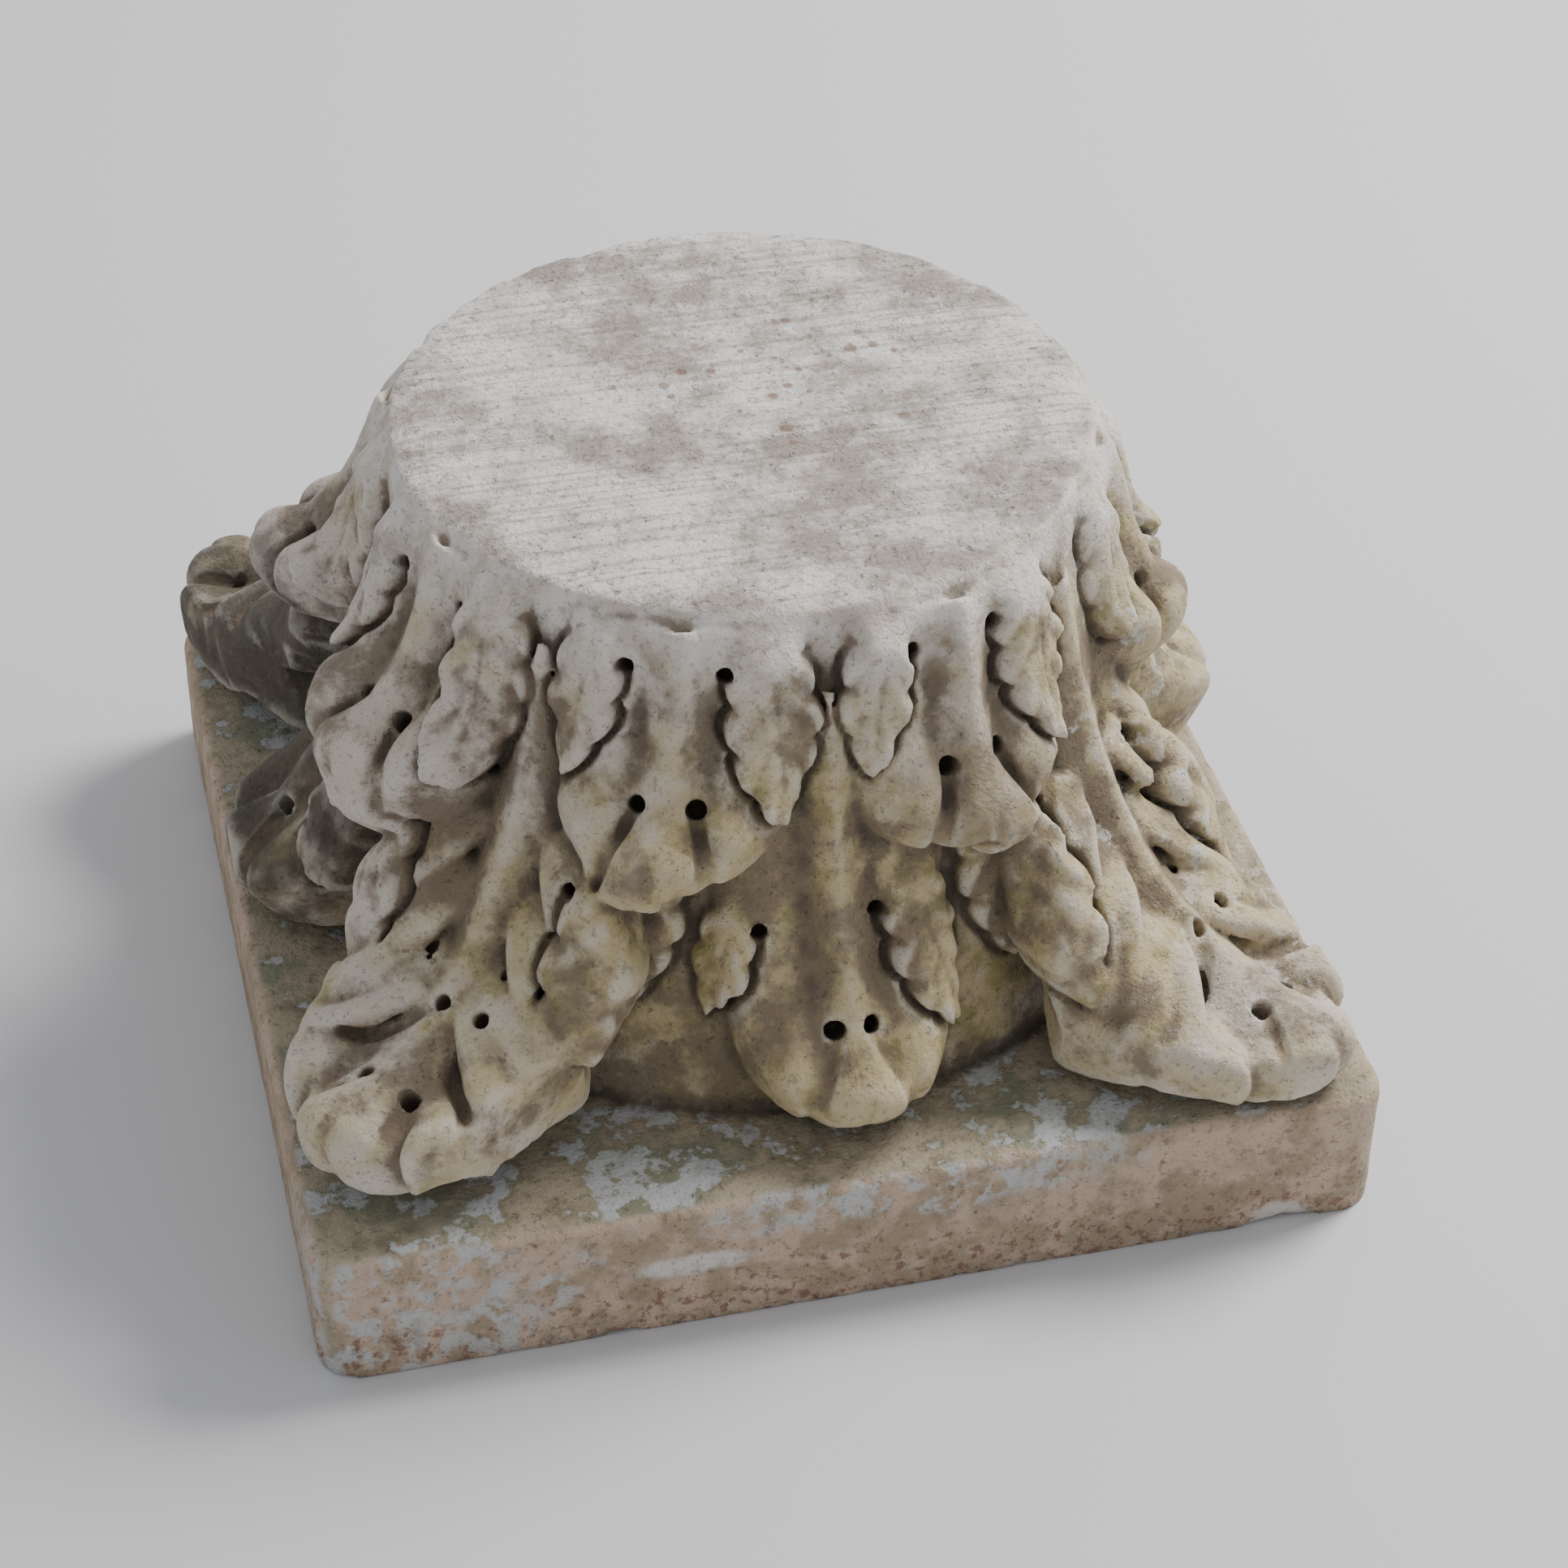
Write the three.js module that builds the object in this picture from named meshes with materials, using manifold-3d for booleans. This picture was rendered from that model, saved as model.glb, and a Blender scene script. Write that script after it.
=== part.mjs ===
// A corinthian capital of weathered marble, carved from one block and stood upside down:
// the square abacus slab is underneath and the round bed for the column shaft is on top.
// Millimetres, +Z up, origin at the middle of the slab's underside, front face towards -Y.

import * as THREE from 'three';
import { mergeVertices } from 'three/addons/utils/BufferGeometryUtils.js';
import Module from 'manifold-3d';

const wasm = await Module();
wasm.setup();

// Driving dimensions.
const SLAB_SIDE = 400;
const SLAB_THICK = 56.5;
const SLAB_CORNER = 15;
const SLAB_EDGE = 5;
const HEIGHT = 261;
const BED_RADIUS = 130;
const BELL_FOOT_RADIUS = 157;
const BELL_FLARE_POWER = 1.3;
const EYE_RADIUS = 4.2;
const EYE_DEPTH = 13;
const BURIED = 12;

const DEG = Math.PI / 180;

const clamp01 = (x) => Math.min(1, Math.max(0, x));
const mix = (a, b, x) => a + (b - a) * x;
const smooth = (from, to, x) => {
  const k = clamp01((x - from) / (to - from));
  return k * k * (3 - 2 * k);
};

// Radius of the plain bell behind the leaves.
function bellRadius(z) {
  const down = clamp01((HEIGHT - z) / (HEIGHT - SLAB_THICK));
  return BED_RADIUS + (BELL_FOOT_RADIUS - BED_RADIUS) * down ** BELL_FLARE_POWER;
}

// A leaf is a sheet that runs down the bell and flares outwards to its tip. `along` is the
// distance down the sheet as a fraction of its length, `side` is the distance to either side
// of the midrib, and `out` is the height above the sheet. The sheet hugs the bell at its sides.
function makeSheet(leaf) {
  const topRadius = bellRadius(leaf.top) + 1;
  const drop = leaf.top - leaf.tipHeight;
  const spread = leaf.reach - topRadius;
  const curve = new THREE.CubicBezierCurve(
    new THREE.Vector2(topRadius, leaf.top),
    new THREE.Vector2(topRadius + 10, leaf.top - 0.46 * drop),
    new THREE.Vector2(topRadius + 0.32 * spread, leaf.tipHeight + leaf.sag * drop),
    new THREE.Vector2(leaf.reach, leaf.tipHeight),
  );
  const length = curve.getLength();
  const place = (along, side, out) => {
    const at = clamp01(along);
    const point = curve.getPointAt(at);
    const tangent = curve.getTangentAt(at);
    const hug = leaf.hug * Math.min(1, (side / leaf.width) ** 2);
    const back = Math.max(0, point.x - bellRadius(point.y)) * hug;
    const radius = point.x - back - tangent.y * out;
    const height = point.y + tangent.x * out;
    const angle = (leaf.azimuth + leaf.lean * at * at) * DEG + side / point.x;
    return [radius * Math.cos(angle), radius * Math.sin(angle), height];
  };
  return { length, place };
}

// Swelling of each toe between two grooves, from 0 in a groove to 1 over most of its width.
function toeSwell(grooves, u) {
  for (let i = 0; i + 1 < grooves.length; i += 1) {
    if (u >= grooves[i] && u <= grooves[i + 1]) {
      const x = (2 * u - grooves[i] - grooves[i + 1]) / (grooves[i + 1] - grooves[i]);
      return 1 - x ** 4;
    }
  }
  return 0;
}

// Half width of a lobe at `a`, from 0 at its root to 1 at its tip, with scalloped margins.
function lobeHalfWidth(lobe, a) {
  const at = clamp01(a);
  const plain = mix(lobe.neck, lobe.half, Math.sin((Math.PI / 2) * at ** lobe.open));
  const bite = 1 - Math.abs(Math.sin(Math.PI * lobe.scallops * at));
  return plain * (1 - lobe.bite * bite * smooth(0.1, 0.3, at));
}

// Height of a lobe's carved face above its sheet, `a` along the lobe and `u` across it.
function lobeRelief(lobe, a, u) {
  const offMidrib = Math.abs(u) * lobeHalfWidth(lobe, a);
  const rib = lobe.rib * Math.exp(-((offMidrib / 7) ** 2)) * (1 - smooth(0.5, 0.75, a));
  const crown = lobe.crown * (1 - u * u) * smooth(lobe.eyeAt - 0.2, lobe.eyeAt + 0.15, a);
  const groove = lobe.groove * (1 - toeSwell(lobe.toes, u)) * smooth(lobe.eyeAt, lobe.eyeAt + 0.12, a);
  return lobe.lift * smooth(0, 0.25, a) + rib + crown - groove;
}

// Closed solid of one lobe: a carved face, a rounded rim that turns down by `rim`, a hanging
// edge of `hang`, and a plain back drawn together to one point inside the bell.
function lobeSolid(leaf, sheet, lobe) {
  const start = [lobe.from[0] * sheet.length, lobe.from[1]];
  const end = [lobe.to[0] * sheet.length, lobe.to[1]];
  const run = Math.hypot(end[0] - start[0], end[1] - start[1]);
  const dir = [(end[0] - start[0]) / run, (end[1] - start[1]) / run];
  const at = (a, u, out) => {
    const offset = u * lobeHalfWidth(lobe, a);
    const along = start[0] + dir[0] * a * run - dir[1] * offset;
    const side = start[1] + dir[1] * a * run + dir[0] * offset;
    return sheet.place(along / sheet.length, side, out);
  };
  const positions = [];
  lobe.columns.forEach((u) => {
    const round = 1 - lobe.cap * (1 - Math.sqrt(1 - u * u));
    const reach = round * (1 - lobe.notch * (1 - toeSwell(lobe.toes, u)));
    const edge = lobe.edge * smooth(0.8, 1, Math.abs(u));
    const rimRun = lobe.rim / run;
    lobe.rows.forEach((row) => {
      const a = row * (reach - rimRun);
      positions.push(...at(a, u, lobeRelief(lobe, a, u) - edge));
    });
    lobe.rimTurns.forEach((turn) => {
      const a = reach - rimRun * (1 - Math.sin(turn));
      const down = lobe.rim * (1 - Math.cos(turn));
      positions.push(...at(a, u, lobeRelief(lobe, a, u) - Math.max(edge, down)));
    });
    const under = lobe.rim + lobe.hang;
    positions.push(...at(reach - lobe.tuck / run, u, lobeRelief(lobe, reach, u) - Math.max(edge, under)));
  });
  const backRadius = bellRadius(leaf.top) - BURIED;
  const backAngle = leaf.azimuth * DEG + lobe.to[1] / (2 * backRadius);
  const backHeight = mix(leaf.top, leaf.tipHeight, lobe.backAt);
  positions.push(backRadius * Math.cos(backAngle), backRadius * Math.sin(backAngle), backHeight);
  return closedGrid(positions, lobe.columns.length, lobe.rows.length + lobe.rimTurns.length + 1);
}

// Columns of a blade's face: its edges, its midrib, its grooves and the crests between them.
function bladeColumns(grooves) {
  const list = [-1, -0.86, 0.86, 1];
  grooves.slice(1).forEach((g, i) => {
    const crest = (g + grooves[i]) / 2;
    if (Math.abs(crest) < 0.8) {
      list.push(crest);
    }
  });
  list.push(...grooves.slice(1, -1));
  if (grooves.length < 5) {
    list.push(-0.2, 0.2);
  }
  return list.sort((p, q) => p - q);
}

// Triangles of a face grid stored column by column, closed by a fan to the last point.
function closedGrid(positions, columnCount, rowCount) {
  const index = [];
  const id = (c, r) => c * rowCount + r;
  for (let c = 0; c + 1 < columnCount; c += 1) {
    for (let r = 0; r + 1 < rowCount; r += 1) {
      index.push(id(c, r), id(c, r + 1), id(c + 1, r + 1));
      index.push(id(c, r), id(c + 1, r + 1), id(c + 1, r));
    }
  }
  const apex = columnCount * rowCount;
  const border = [];
  for (let c = 0; c < columnCount; c += 1) {
    border.push(id(c, 0));
  }
  for (let r = 1; r < rowCount; r += 1) {
    border.push(id(columnCount - 1, r));
  }
  for (let c = columnCount - 2; c >= 0; c -= 1) {
    border.push(id(c, rowCount - 1));
  }
  for (let r = rowCount - 2; r > 0; r -= 1) {
    border.push(id(0, r));
  }
  border.forEach((point, i) => {
    index.push(point, border[(i + 1) % border.length], apex);
  });
  const geometry = new THREE.BufferGeometry();
  geometry.setAttribute('position', new THREE.Float32BufferAttribute(positions, 3));
  geometry.setIndex(index);
  return geometry;
}

function toSolid(geometry) {
  geometry.deleteAttribute('normal');
  geometry.deleteAttribute('uv');
  const merged = mergeVertices(geometry, 1e-4);
  const mesh = new wasm.Mesh({
    numProp: 3,
    vertProperties: new Float32Array(merged.attributes.position.array),
    triVerts: new Uint32Array(merged.index.array),
  });
  return new wasm.Manifold(mesh);
}

// The outer surface of a solid as a geometry. Pockets sealed between a leaf's back and the bell
// are left out, because the stone is whole there.
function outerGeometry(solid) {
  const mesh = solid.getMesh();
  const parent = Array.from({ length: mesh.vertProperties.length / 3 }, (_, i) => i);
  const rootOf = (i) => {
    let at = i;
    while (parent[at] !== at) {
      parent[at] = parent[parent[at]];
      at = parent[at];
    }
    return at;
  };
  for (let t = 0; t < mesh.triVerts.length; t += 3) {
    parent[rootOf(mesh.triVerts[t + 1])] = rootOf(mesh.triVerts[t]);
    parent[rootOf(mesh.triVerts[t + 2])] = rootOf(mesh.triVerts[t]);
  }
  const corner = (k) => new THREE.Vector3().fromArray(mesh.vertProperties, 3 * mesh.triVerts[k]);
  const shells = new Map();
  for (let t = 0; t < mesh.triVerts.length; t += 3) {
    const root = rootOf(mesh.triVerts[t]);
    const shell = shells.get(root) ?? { volume: 0, index: [] };
    shell.volume += corner(t).dot(corner(t + 1).cross(corner(t + 2))) / 6;
    shell.index.push(mesh.triVerts[t], mesh.triVerts[t + 1], mesh.triVerts[t + 2]);
    shells.set(root, shell);
  }
  const outer = [...shells.values()].reduce((a, b) => (a.volume > b.volume ? a : b));
  const all = new THREE.BufferGeometry();
  all.setAttribute('position', new THREE.BufferAttribute(mesh.vertProperties, 3));
  all.setIndex(outer.index);
  const geometry = mergeVertices(all.toNonIndexed(), 1e-4);
  geometry.computeVertexNormals();
  return geometry;
}

// Lobes that make up a leaf. Positions along a sheet are fractions of its length, positions
// across a lobe are fractions of its half width, and the rest are millimetres.
function bladeLobe(half, toes, extra) {
  return {
    from: [0, 0], to: [1, 0], neck: 28, half, open: 1.5, scallops: 1, bite: 0, cap: 0.24,
    notch: 0.05, toes, columns: bladeColumns(toes), lift: 0, crown: 4, rib: 4, groove: 4.5,
    eyeAt: 0.66, rim: 11, hang: 12, tuck: 4, edge: 8, backAt: 0.62, rows: [0, 0.35, 0.62, 0.82],
    rimTurns: [0, Math.PI / 4], ...extra,
  };
}

function sideLobes(from, to, half, extra) {
  return [-1, 1].map((hand) => ({
    from: [from[0], from[1] * hand], to: [to[0], to[1] * hand], neck: 0.8 * half, half,
    open: 1, scallops: 3, bite: 0.16, cap: 0.5, notch: 0, toes: [-1, 0, 1],
    columns: [-1, -0.65, 0.65, 1], lift: 4, crown: 0, rib: 0, groove: 0, eyeAt: 0.3, rim: 3,
    hang: 6, tuck: 1, edge: 8, backAt: 0.45, rows: [0, 0.4, 0.8], rimTurns: [0],
    ...extra,
  }));
}

const THREE_TOES = [-1, -0.42, 0.42, 1];
const FIVE_TOES = [-1, -0.62, -0.22, 0.22, 0.62, 1];

const FIRST_TIER = { top: HEIGHT - 3, sag: 0.18, hug: 0.5, width: 46, lean: 0, eyeGap: 25 };
const SECOND_TIER = { top: 236, sag: 0.16, hug: 0.55, width: 50, lean: 0, eyeGap: 18 };
const CORNER = { top: 240, sag: 0.02, hug: 0.5, width: 64, lean: 0, eyeGap: 24 };

const firstLobes = (hang) => [
  bladeLobe(46, THREE_TOES, { hang }),
  ...sideLobes([0.02, 36], [0.76, 45], 19),
];
const secondLobes = (hang) => [
  bladeLobe(50, THREE_TOES, { hang, eyeAt: 0.76, neck: 34 }),
  ...sideLobes([0.4, 30], [0.8, 44], 17, { lift: 3 }),
  ...sideLobes([0.2, 48], [0.58, 58], 17),
];
const cornerLobes = (hang) => [
  bladeLobe(60, FIVE_TOES, { hang, eyeAt: 0.76, open: 1.9, rows: [0, 0.3, 0.55, 0.72, 0.86] }),
  ...sideLobes([0.42, 30], [0.82, 50], 18),
  ...sideLobes([0.2, 48], [0.58, 58], 17),
];

// Every leaf of the capital, first the tier beside the bed, then the tier beside the slab, then
// the four that reach to its corners. Leaves on the back are plainer: fewer lobes and no eyes.
const LEAVES = [
  { ...FIRST_TIER, azimuth: -113, lean: -3, reach: 173, tipHeight: 178, lobes: firstLobes(6) },
  { ...FIRST_TIER, azimuth: -68, lean: -4, reach: 158, tipHeight: 172, lobes: firstLobes(6) },
  { ...FIRST_TIER, azimuth: -157, reach: 184, tipHeight: 182, lobes: firstLobes(18) },
  { ...FIRST_TIER, azimuth: 157.5, reach: 186, tipHeight: 185, lobes: firstLobes(12) },
  { ...FIRST_TIER, azimuth: -23, reach: 169, tipHeight: 184, lobes: firstLobes(18) },
  { ...FIRST_TIER, azimuth: 112.5, reach: 176, tipHeight: 182, lobes: firstLobes(12), plain: true },
  { ...FIRST_TIER, azimuth: 67.5, reach: 174, tipHeight: 181, lobes: firstLobes(12), plain: true },
  { ...FIRST_TIER, azimuth: 22.5, reach: 172, tipHeight: 182, lobes: firstLobes(14), plain: true },
  { ...SECOND_TIER, azimuth: -90, lean: 2, reach: 192, tipHeight: 80, lobes: secondLobes(13) },
  { ...SECOND_TIER, azimuth: -179, reach: 203, tipHeight: 90, lobes: secondLobes(24) },
  { ...SECOND_TIER, azimuth: 2, lean: 3, reach: 207, tipHeight: 92, lobes: secondLobes(24) },
  { ...SECOND_TIER, azimuth: 90, reach: 196, tipHeight: 90, lobes: secondLobes(22), plain: true },
  { ...CORNER, azimuth: -134, lean: -3, reach: 262, tipHeight: 96, lobes: cornerLobes(20) },
  { ...CORNER, azimuth: -46, reach: 270, tipHeight: 76, lobes: cornerLobes(20) },
  { ...CORNER, azimuth: 135, reach: 278, tipHeight: 92, lobes: cornerLobes(24) },
  { ...CORNER, azimuth: 45, reach: 262, tipHeight: 88, lobes: cornerLobes(24), plain: true },
];

function leafSolids(leaf, sheet) {
  const lobes = leaf.plain ? leaf.lobes.slice(0, 3) : leaf.lobes;
  return lobes.map((lobe) => toSolid(lobeSolid(leaf, sheet, lobe)));
}

// The pair of drilled eyes that divides the midrib from the outer toes.
function eyeSolids(leaf, sheet) {
  const blade = leaf.lobes[0];
  const along = blade.eyeAt - 0.02;
  return [-1, 1].map((hand) => {
    const side = hand * leaf.eyeGap / 2;
    const mouth = new THREE.Vector3(...sheet.place(along, side, EYE_DEPTH));
    const floor = new THREE.Vector3(...sheet.place(along, side, -0.6 * EYE_DEPTH));
    const drill = new THREE.CylinderGeometry(EYE_RADIUS, EYE_RADIUS, mouth.distanceTo(floor), 6);
    const axis = mouth.clone().sub(floor).normalize();
    drill.applyQuaternion(new THREE.Quaternion().setFromUnitVectors(new THREE.Vector3(0, 1, 0), axis));
    const middle = mouth.add(floor).multiplyScalar(0.5);
    drill.translate(middle.x, middle.y, middle.z);
    return toSolid(drill);
  });
}

// Bell: turned core from inside the slab up to the bed.
function bellSolid() {
  const points = [new THREE.Vector2(0, SLAB_THICK - BURIED)];
  const levels = 5;
  points.push(new THREE.Vector2(BELL_FOOT_RADIUS, SLAB_THICK - BURIED));
  for (let i = 0; i <= levels; i += 1) {
    const z = mix(SLAB_THICK, HEIGHT - 2, i / levels);
    points.push(new THREE.Vector2(bellRadius(z), z));
  }
  points.push(new THREE.Vector2(BED_RADIUS - 3, HEIGHT));
  points.push(new THREE.Vector2(0, HEIGHT));
  const geometry = new THREE.LatheGeometry(points, 40);
  geometry.rotateX(Math.PI / 2);
  return toSolid(geometry);
}

// Slab: square plan with rounded corners, a softened upper edge and a flat underside.
function slabSolid() {
  const half = SLAB_SIDE / 2 - SLAB_EDGE;
  const round = SLAB_CORNER - SLAB_EDGE;
  const plan = new THREE.Shape();
  [[1, -1, -0.5], [1, 1, 0], [-1, 1, 0.5], [-1, -1, 1]].forEach(([x, y, turn]) => {
    const from = turn * Math.PI;
    plan.absarc(x * (half - round), y * (half - round), round, from, from + Math.PI / 2);
  });
  const block = new THREE.ExtrudeGeometry(plan, {
    depth: SLAB_THICK,
    bevelEnabled: true,
    bevelSize: SLAB_EDGE,
    bevelThickness: SLAB_EDGE,
    bevelSegments: 2,
    curveSegments: 4,
  });
  block.translate(0, 0, -SLAB_EDGE);
  const below = new THREE.BoxGeometry(2 * SLAB_SIDE, 2 * SLAB_SIDE, SLAB_THICK);
  below.translate(0, 0, -SLAB_THICK / 2);
  return toSolid(block).subtract(toSolid(below));
}

let stone = bellSolid();
const sheets = LEAVES.map(makeSheet);
LEAVES.forEach((leaf, i) => {
  leafSolids(leaf, sheets[i]).forEach((solid) => {
    stone = stone.add(solid);
  });
});
LEAVES.forEach((leaf, i) => {
  const drills = leaf.plain ? [] : eyeSolids(leaf, sheets[i]);
  drills.forEach((drill) => {
    stone = stone.subtract(drill);
  });
});
stone = stone.add(slabSolid());

const marble = new THREE.MeshStandardMaterial({ color: 0xb3a893, roughness: 0.85, metalness: 0 });
const capital = new THREE.Mesh(outerGeometry(stone), marble);
capital.name = 'capital';

const part = new THREE.Group();
part.add(capital);

export default part;
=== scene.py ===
"""Corinthian capital of weathered marble, carved in one piece, standing upside down on its abacus.

The carving is worked out in millimetres on a fine grid of distances to the stone's surface:
leaves, plates, drilled eyes, grooves, chips and wear are joined or cut there, and the grid is
then turned into one closed mesh.
"""
import math

import bpy
import numpy as np
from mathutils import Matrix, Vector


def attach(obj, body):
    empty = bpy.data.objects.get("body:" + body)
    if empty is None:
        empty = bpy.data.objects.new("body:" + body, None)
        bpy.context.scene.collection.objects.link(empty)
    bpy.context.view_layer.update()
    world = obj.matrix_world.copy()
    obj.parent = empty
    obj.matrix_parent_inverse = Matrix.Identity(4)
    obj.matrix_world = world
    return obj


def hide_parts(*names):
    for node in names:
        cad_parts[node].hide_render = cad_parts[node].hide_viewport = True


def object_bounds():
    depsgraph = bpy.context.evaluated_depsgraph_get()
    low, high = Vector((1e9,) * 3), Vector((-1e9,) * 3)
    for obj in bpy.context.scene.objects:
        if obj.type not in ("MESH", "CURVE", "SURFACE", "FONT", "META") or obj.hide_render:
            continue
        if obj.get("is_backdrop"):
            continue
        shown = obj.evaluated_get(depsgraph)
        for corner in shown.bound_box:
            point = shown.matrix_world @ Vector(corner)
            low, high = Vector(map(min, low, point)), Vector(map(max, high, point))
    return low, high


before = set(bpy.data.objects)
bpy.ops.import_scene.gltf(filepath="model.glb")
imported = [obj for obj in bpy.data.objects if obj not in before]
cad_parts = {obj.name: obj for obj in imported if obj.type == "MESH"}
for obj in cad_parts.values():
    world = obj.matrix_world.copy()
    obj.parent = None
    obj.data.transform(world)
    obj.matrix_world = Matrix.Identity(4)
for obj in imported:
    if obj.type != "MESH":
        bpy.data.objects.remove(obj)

import openvdb
from mathutils import Matrix, Vector

bl_info = {
    "name": "Corinthian Capital",
    "version": (1, 0, 0),
    "blender": (4, 5, 0),
    "location": "View3D > Sidebar > Capital",
    "description": "Builds a weathered marble capital and its plain studio",
    "category": "Add Mesh",
}

SOLID_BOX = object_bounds()

# Sizes in millimetres. The origin is the middle of the slab's underside and the front is -Y.
SLAB_SIDE = 400.0
SLAB_THICK = 56.5
SLAB_CORNER = 15.0
SLAB_EDGE = 5.0
HEIGHT = 261.0
BED_RADIUS = 130.0
BELL_FOOT_RADIUS = 157.0
BELL_FLARE_POWER = 1.3
EYE_RADIUS = 3.6
EYE_DEPTH = 12.0
PLATE_EYE_DEPTH = 7.0
GROOVE_DEPTH = 6.0
GROOVE_WIDTH = 2.1
# How far leaf backs and the bell's foot are sunk into the stone they join.
BURIED = 12.0
# Place along the front of the fresh break in the slab's lower edge.
CHIP_X = 160.0

GRID_STEP = 1.4
BAND = 6
GRID_LOW = np.array([-208.0, -205.0, -5.0])
GRID_HIGH = np.array([210.0, 206.0, 267.0])


# ---------------------------------------------------------------- small helpers

def smooth(low, high, x):
    k = np.clip((x - low) / (high - low), 0.0, 1.0)
    return k * k * (3.0 - 2.0 * k)


def mix(a, b, x):
    return a + (b - a) * x


def bump(x, width):
    return np.exp(-((x / width) ** 2))


def bell_radius(z):
    """Radius of the plain bell behind the leaves."""
    down = np.clip((HEIGHT - z) / (HEIGHT - SLAB_THICK), 0.0, 1.0)
    return BED_RADIUS + (BELL_FOOT_RADIUS - BED_RADIUS) * down ** BELL_FLARE_POWER


class ValueNoise:
    """Smooth random numbers between -1 and 1 that vary over `size` millimetres."""

    def __init__(self, size, seed):
        self.size = size
        self.cells = 64
        self.values = np.random.default_rng(seed).uniform(-1.0, 1.0, (self.cells,) * 3).astype(np.float32)

    def __call__(self, points):
        at = points / self.size
        cell = np.floor(at).astype(int)
        k = (at - cell).astype(np.float32)
        k = k * k * (3.0 - 2.0 * k)
        total = 0.0
        for corner in range(8):
            step = np.array([corner & 1, (corner >> 1) & 1, corner >> 2])
            i = (cell + step) % self.cells
            weight = np.prod(np.where(step == 1, k, 1.0 - k), axis=-1)
            total = total + weight * self.values[i[..., 0], i[..., 1], i[..., 2]]
        return total


# ---------------------------------------------------------------- leaves

class Sheet:
    """A leaf's surface before it is carved: a curve down the bell and out, swept sideways."""

    def __init__(self, leaf):
        self.leaf = leaf
        top = leaf["top"]
        tip = leaf["tip"]
        top_radius = bell_radius(top) + 1.0
        drop = top - tip
        spread = leaf["reach"] - top_radius
        handles = np.array([
            (top_radius, top),
            (top_radius + 10.0, top - 0.46 * drop),
            (top_radius + 0.32 * spread, tip + leaf["sag"] * drop),
            (leaf["reach"], tip),
        ])
        t = np.linspace(0.0, 1.0, 400)[:, None]
        curve = (
            (1 - t) ** 3 * handles[0]
            + 3 * (1 - t) ** 2 * t * handles[1]
            + 3 * (1 - t) * t ** 2 * handles[2]
            + t ** 3 * handles[3]
        )
        steps = np.linalg.norm(np.diff(curve, axis=0), axis=1)
        run = np.concatenate([[0.0], np.cumsum(steps)])
        tangent = np.gradient(curve, axis=0)
        tangent /= np.linalg.norm(tangent, axis=1, keepdims=True)
        self.length = run[-1]
        self.run = run / run[-1]
        self.curve = curve
        self.tangent = tangent

    def place(self, along, side, out):
        """Point at `along` (0 to 1) down the sheet, `side` mm from its midrib, `out` mm above it."""
        at = np.clip(along, 0.0, 1.0)
        radius = np.interp(at, self.run, self.curve[:, 0])
        height = np.interp(at, self.run, self.curve[:, 1])
        tangent_r = np.interp(at, self.run, self.tangent[:, 0])
        tangent_z = np.interp(at, self.run, self.tangent[:, 1])
        off = np.minimum(1.0, np.abs(side) / self.leaf["width"])
        hug = self.leaf["hug"] * off ** self.leaf["turn"]
        back = np.maximum(0.0, radius - bell_radius(height)) * hug
        far = radius - back - tangent_z * out
        up = height + tangent_r * out
        angle = np.radians(self.leaf["azimuth"] + self.leaf["lean"] * at * at) + side / radius
        return np.stack([far * np.cos(angle), far * np.sin(angle), up], axis=-1)


def toe_swell(grooves, u, power):
    """Swelling of each toe between two grooves: 0 in a groove and 1 along the toe's crest."""
    swell = 0.0
    for left, right in zip(grooves[:-1], grooves[1:]):
        x = (2 * u - left - right) / (right - left)
        swell = np.where((u >= left) & (u <= right), 1 - np.abs(np.clip(x, -1, 1)) ** power, swell)
    return swell


def lobe_half_width(lobe, a):
    at = np.clip(a, 0.0, 1.0)
    plain = mix(lobe["neck"], lobe["half"], np.sin(np.pi / 2 * at ** lobe["open"]))
    bite = 1 - np.abs(np.sin(np.pi * lobe["scallops"] * at)) ** 0.6
    return plain * (1 - lobe["bite"] * bite * smooth(0.1, 0.3, at))


def groove_places(lobe, a):
    """Where the grooves between toes lie across the lobe: they fan out from the eyes."""
    fan = mix(0.45, 1.0, smooth(lobe["eye_at"] - 0.05, 1.0, a))
    return [g if abs(g) == 1 else g * fan for g in lobe["toes"]]


def lobe_relief(lobe, a, u):
    """Height of a lobe's carved face above its sheet, `a` along the lobe and `u` across it."""
    off_rib = np.abs(u) * lobe_half_width(lobe, a)
    eye = lobe["eye_at"]
    rib = lobe["rib"] * bump(off_rib, 5.5) * (1 - smooth(eye - 0.12, eye + 0.05, a))
    ends = smooth(0.08, 0.35, a) * (1 - smooth(eye - 0.05, eye + 0.2, a))
    channel = lobe["channel"] * bump(off_rib - lobe["channel_off"], lobe["channel_off"] * 0.45) * ends
    places = groove_places(lobe, a)
    start = smooth(eye - 0.04, eye + 0.16, a)
    puff = lobe["groove"] * (toe_swell(places, u, 2.6) - 0.55) * start
    fine_places = split_toes(places)
    fine = lobe["fine_groove"] * (1 - toe_swell(fine_places, u, 10)) * smooth(eye + 0.1, eye + 0.26, a)
    lift = lobe["lift"] * smooth(0.0, 0.25, a) + lobe["crown"] * smooth(eye - 0.25, eye + 0.1, a)
    return lift + rib - channel + puff - fine


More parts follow.
